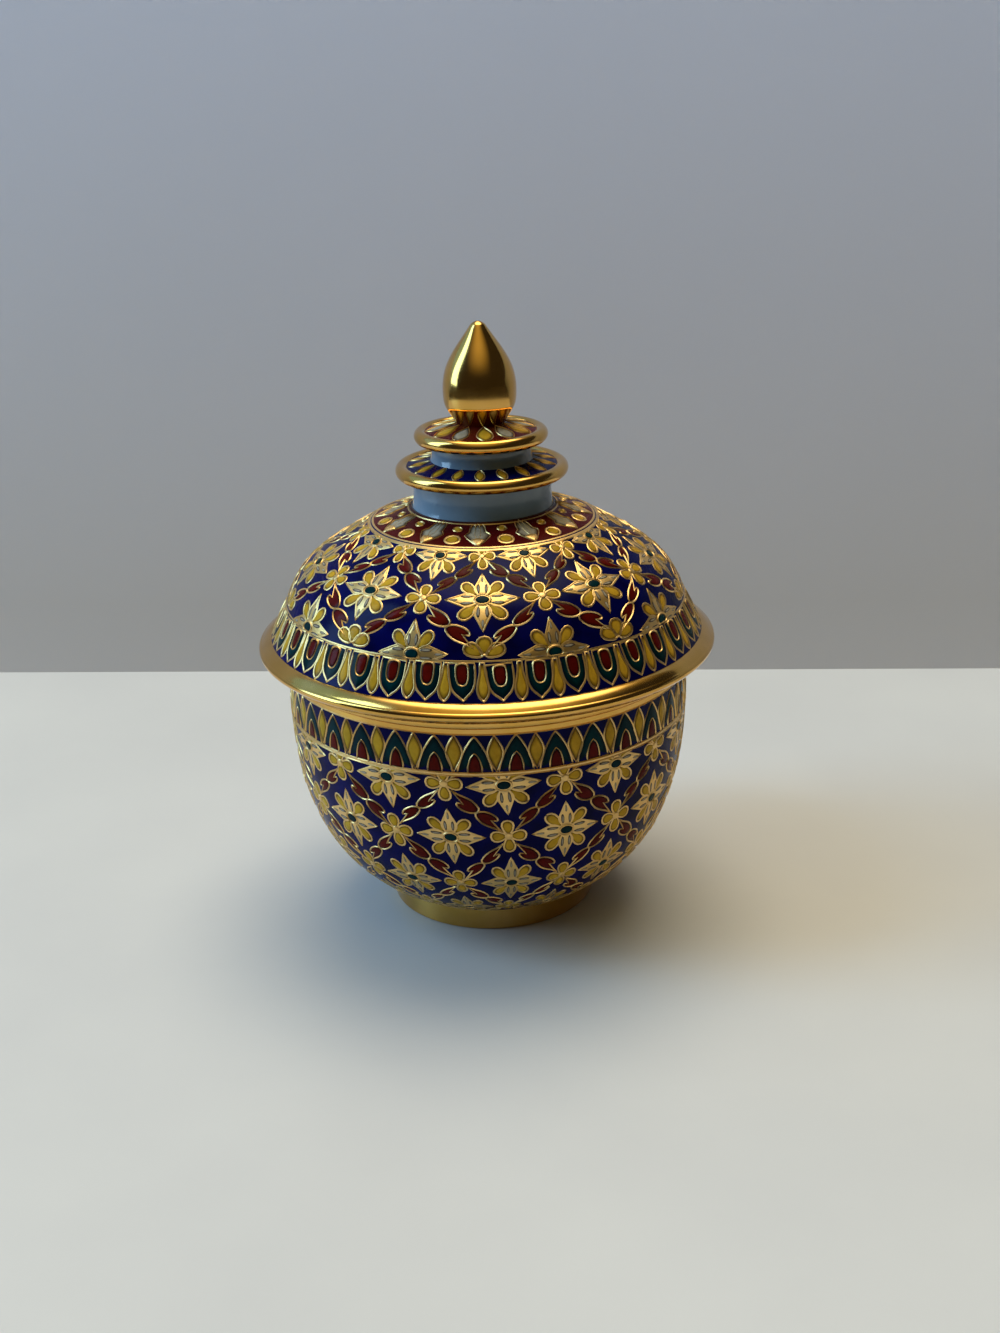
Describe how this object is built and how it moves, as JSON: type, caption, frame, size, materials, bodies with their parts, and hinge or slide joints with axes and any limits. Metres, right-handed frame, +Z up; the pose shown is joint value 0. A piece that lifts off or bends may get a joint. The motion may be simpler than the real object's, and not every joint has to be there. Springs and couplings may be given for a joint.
{
  "type": "covered trinket bowl",
  "caption": "Round-bellied porcelain bowl on a low foot, with a wide-brimmed domed lid that lifts off by a lotus-bud knob; holds small trinkets.",
  "frame": {"origin": "centre of the foot's standing face", "axes": "+Z up along the turning axis, through the knob; the bowl is round, and -Y faces the picture's camera"},
  "size_m": [0.09, 0.09, 0.1173],
  "materials": {
    "gilding": "burnished gold film over porcelain, mirror bright",
    "enamelled_porcelain": "cobalt ground with raised gold outlines and coloured enamels, glossy",
    "bare_glaze": "pale grey-blue glaze, glossy"
  },
  "bodies": {
    "bowl": {"foot_ring": "gilding", "bowl_body": "enamelled_porcelain", "bowl_lip": "gilding"},
    "lid": {"locating_ring": "bare_glaze", "lid_brim": "gilding", "lid_dome": "enamelled_porcelain", "lower_neck": "bare_glaze", "lower_tier": "gilding", "upper_neck": "bare_glaze", "upper_tier": "gilding", "lotus_bud": "gilding"}
  },
  "joints": [
    {"name": "lid_lift", "type": "slide", "parent": "bowl", "child": "lid", "axis": [0, 0, 1], "range_m": [0, 0.06]}
  ]
}
